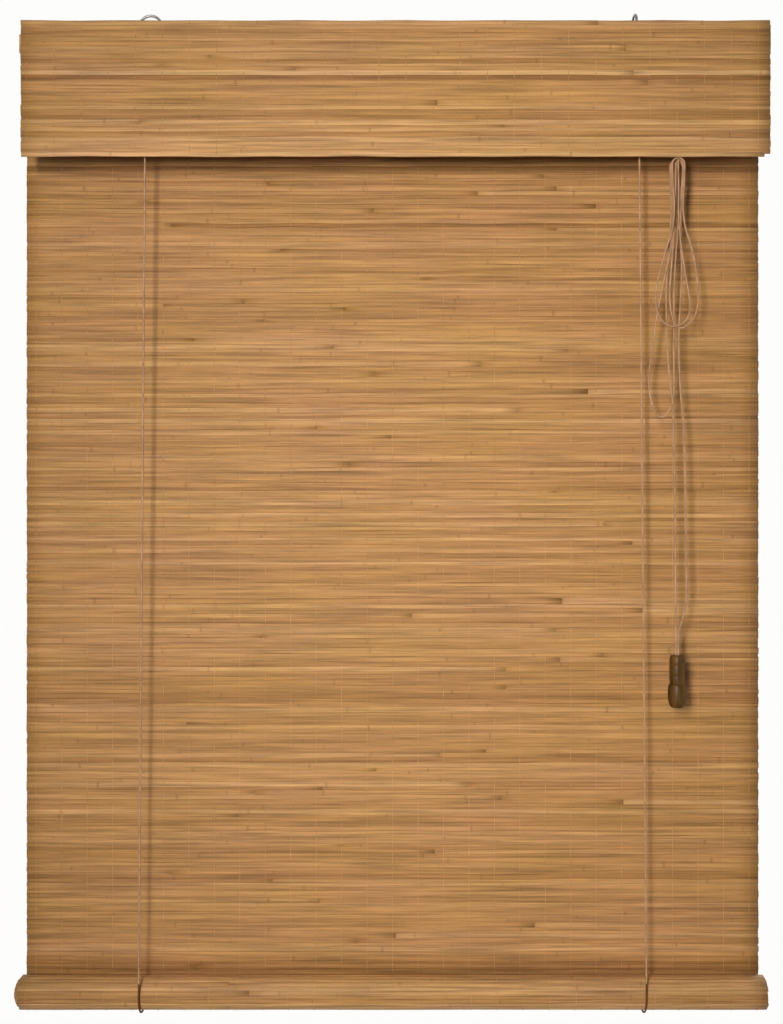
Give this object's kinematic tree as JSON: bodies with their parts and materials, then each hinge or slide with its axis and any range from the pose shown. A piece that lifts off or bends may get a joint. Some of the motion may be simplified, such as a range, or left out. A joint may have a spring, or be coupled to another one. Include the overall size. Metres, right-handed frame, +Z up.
{
  "type": "bamboo roll up blind",
  "caption": "Reed mat of split bamboo sticks on a wooden head rail with a short valance, rolled up from the bottom by lift cords over pulleys and a cord lock.",
  "frame": {"origin": "midway between the two hanging eyes, at the centre of their rings", "axes": "+X along the head rail to the viewer's right, +Y to the wall behind, +Z up"},
  "size_m": [0.903, 0.0765, 1.2042],
  "materials": {
    "bamboo": "split, unvarnished",
    "pine": "planed, bare",
    "dark_wood": "stained, satin",
    "steel": "zinc plated",
    "cord": "twisted cotton"
  },
  "bodies": {
    "head_assembly": {"head_rail": "pine", "valance": "bamboo", "hanging_mat": "bamboo", "left_cord_run": "cord", "right_cord_run": "cord", "left_cord_front": "cord", "right_cord_front": "cord", "left_cord_back": "cord", "right_cord_back": "cord", "pull_cord_leads": "cord", "valance_brads": "steel", "mat_staples": "steel", "hanging_eye_left": "steel", "hanging_eye_right": "steel", "left_pulley_bracket": "steel", "left_pulley_pin": "steel", "right_pulley_bracket": "steel", "right_pulley_pin": "steel", "cord_lock_housing": "steel", "cord_lock_pin": "steel", "cord_lock_post": "steel", "bracket_screws": "steel", "left_cord_anchor": "steel", "right_cord_anchor": "steel"},
    "left_pulley": {"left_pulley_wheel": "steel"},
    "right_pulley": {"right_pulley_wheel": "steel"},
    "lock_pulley": {"cord_lock_wheel": "steel"},
    "lock_roller": {"cord_lock_roller": "steel"},
    "slings": {"left_cord_sling": "cord", "right_cord_sling": "cord"},
    "roll": {"rolled_mat": "bamboo", "bottom_bar": "pine"},
    "pull_set": {"pull_cord_hank": "cord", "pull_cord_loop": "cord", "pull_cord_tails": "cord", "tassel": "dark_wood", "tassel_knot": "cord"}
  },
  "joints": [
    {"name": "roll_lift", "type": "slide", "parent": "head_assembly", "child": "slings", "axis": [0, 0, 1], "range_m": [0, 0.9456], "deforming": ["hanging_mat", "left_cord_front", "right_cord_front", "left_cord_back", "right_cord_back"]},
    {"name": "roll_spin", "type": "hinge", "parent": "slings", "child": "roll", "pos_m": [0, 0.0106, -1.165], "axis": [-1, 0, 0], "range_deg": [0, 2520]},
    {"name": "pull_cord_travel", "type": "slide", "parent": "head_assembly", "child": "pull_set", "axis": [0, 0, -1], "range_m": [0, 1.8912], "deforming": ["pull_cord_leads"]},
    {"name": "left_pulley_spin", "type": "hinge", "parent": "head_assembly", "child": "left_pulley", "pos_m": [-0.2835, -0.025, -0.0533], "axis": [0, 1, 0], "continuous": true},
    {"name": "right_pulley_spin", "type": "hinge", "parent": "head_assembly", "child": "right_pulley", "pos_m": [0.3005, -0.0198, -0.0533], "axis": [0, 1, 0], "continuous": true},
    {"name": "lock_pulley_spin", "type": "hinge", "parent": "head_assembly", "child": "lock_pulley", "pos_m": [0.3285, -0.0224, -0.0533], "axis": [0, 1, 0], "continuous": true},
    {"name": "lock_release", "type": "slide", "parent": "head_assembly", "child": "lock_roller", "axis": [-0.5, 0, 0.866], "range_m": [0, 0.0045]}
  ],
  "couplings": [
    {"joint": "roll_spin", "follows": "roll_lift", "rad_per_m": 46.512},
    {"joint": "pull_cord_travel", "follows": "roll_lift", "ratio": 2},
    {"joint": "left_pulley_spin", "follows": "roll_lift", "rad_per_m": 235.29},
    {"joint": "right_pulley_spin", "follows": "roll_lift", "rad_per_m": 235.29},
    {"joint": "lock_pulley_spin", "follows": "roll_lift", "rad_per_m": 235.29}
  ]
}
